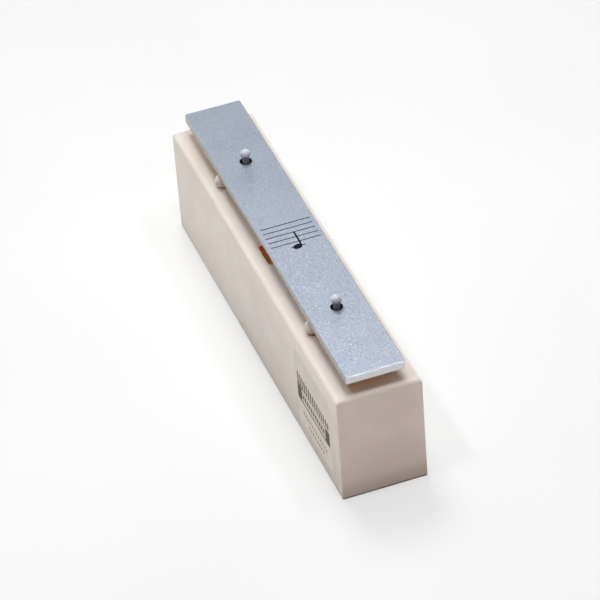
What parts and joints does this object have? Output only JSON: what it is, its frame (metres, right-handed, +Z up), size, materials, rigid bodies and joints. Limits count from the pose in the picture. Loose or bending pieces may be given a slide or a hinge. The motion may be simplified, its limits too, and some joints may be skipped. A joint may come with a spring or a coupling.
{
  "type": "chime bar",
  "caption": "Single tuned metal chime bar that rests on soft cushions over a tall hollow plastic resonator box and lifts off its ball-headed pins.",
  "frame": {"origin": "on the table under the centre of the box, at the underside of the feet", "axes": "+X to the right across the bar, +Y along the bar away from the player, +Z up"},
  "size_m": [0.058, 0.316, 0.1038],
  "materials": {
    "box_plastic": "satin moulded cream-white",
    "plate_plastic": "matt moulded cream",
    "bar_metal": "fine silver sparkle, satin, with bright milled edges",
    "label_film": "matt film with a small grey pictogram",
    "steel": "zinc plated",
    "cap_rubber": "smooth, light grey, slightly translucent",
    "cushion_rubber": "smooth white silicone",
    "foot_rubber": "matt dark grey"
  },
  "bodies": {
    "resonator": {"resonator_box": "box_plastic", "base_plate": "plate_plastic", "side_label": "label_film", "near_pin_core": "steel", "far_pin_core": "steel", "near_pin_cap": "cap_rubber", "far_pin_cap": "cap_rubber", "near_cushion": "cushion_rubber", "far_cushion": "cushion_rubber", "near_left_foot": "foot_rubber", "near_right_foot": "foot_rubber", "far_left_foot": "foot_rubber", "far_right_foot": "foot_rubber", "base_screw_1": "steel", "base_screw_2": "steel", "base_screw_3": "steel", "base_screw_4": "steel", "base_screw_5": "steel", "base_screw_6": "steel"},
    "bar": {"sound_bar": "bar_metal"}
  },
  "joints": [
    {"name": "bar_lift", "type": "slide", "parent": "resonator", "child": "bar", "axis": [0, 0, 1], "range_m": [0, 0.03]}
  ]
}
